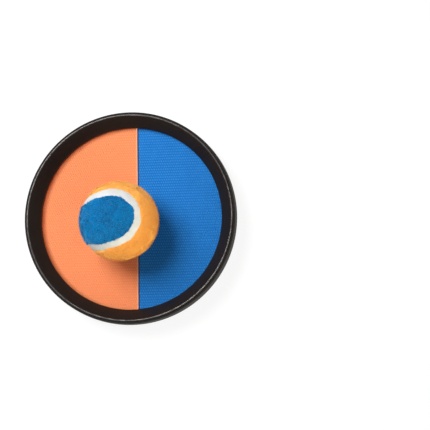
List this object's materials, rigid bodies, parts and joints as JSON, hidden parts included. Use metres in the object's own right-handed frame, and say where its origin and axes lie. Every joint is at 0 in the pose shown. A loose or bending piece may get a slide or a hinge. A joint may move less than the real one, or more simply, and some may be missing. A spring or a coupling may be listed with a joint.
{
  "type": "hook and loop catch paddle",
  "caption": "Round dished catch paddle with a hook fabric face in orange and blue, a felt ball that sticks to it and an opening hand strap on the back.",
  "frame": {"origin": "middle of the foot ring, on the surface that the paddle lies on", "axes": "+Z is the catching face's outward normal, +Y runs along the colour seam, away from the viewer, and +X points from the orange half to the blue half"},
  "size_m": [0.182, 0.182, 0.0806],
  "materials": {
    "shell": "satin black moulding",
    "bezel": "satin black moulding",
    "screw": "zinc plated",
    "foam": "closed cell foam",
    "hook_orange": "fine hook fabric",
    "hook_blue": "fine hook fabric",
    "tape": "woven tape",
    "bar": "satin black moulding",
    "webbing": "black woven webbing",
    "loop_pile": "black loop pile",
    "hook_tape": "black hook tape",
    "thread": "sewing thread",
    "core": "moulded rubber",
    "felt_orange": "short felt",
    "felt_blue": "short felt",
    "band": "off-white, matt"
  },
  "bodies": {
    "paddle": {"back_shell": "shell", "rim_bezel": "bezel", "rim_screws": "screw", "foam_pad": "foam", "face_orange": "hook_orange", "face_blue": "hook_blue", "face_seam_tape": "tape", "strap_bar_far": "bar", "strap_bar_near": "bar", "bar_screws": "screw", "strap_inner": "webbing", "loop_patch": "loop_pile", "strap_inner_stitch": "thread"},
    "strap_flap": {"strap_outer": "webbing", "hook_patch": "hook_tape", "strap_outer_stitch": "thread"},
    "ball": {"ball_core_a": "core", "ball_core_b": "core", "ball_felt_orange": "felt_orange", "ball_felt_blue": "felt_blue", "ball_band": "band"}
  },
  "joints": [
    {"name": "strap_peel", "type": "hinge", "parent": "paddle", "child": "strap_flap", "pos_m": [0, 0.054, 0.0064], "axis": [1, 0, 0], "range_deg": [0, 140]},
    {"name": "ball_pull", "type": "slide", "parent": "paddle", "child": "ball", "axis": [0, 0, 1], "range_m": [0, 0.15]}
  ]
}
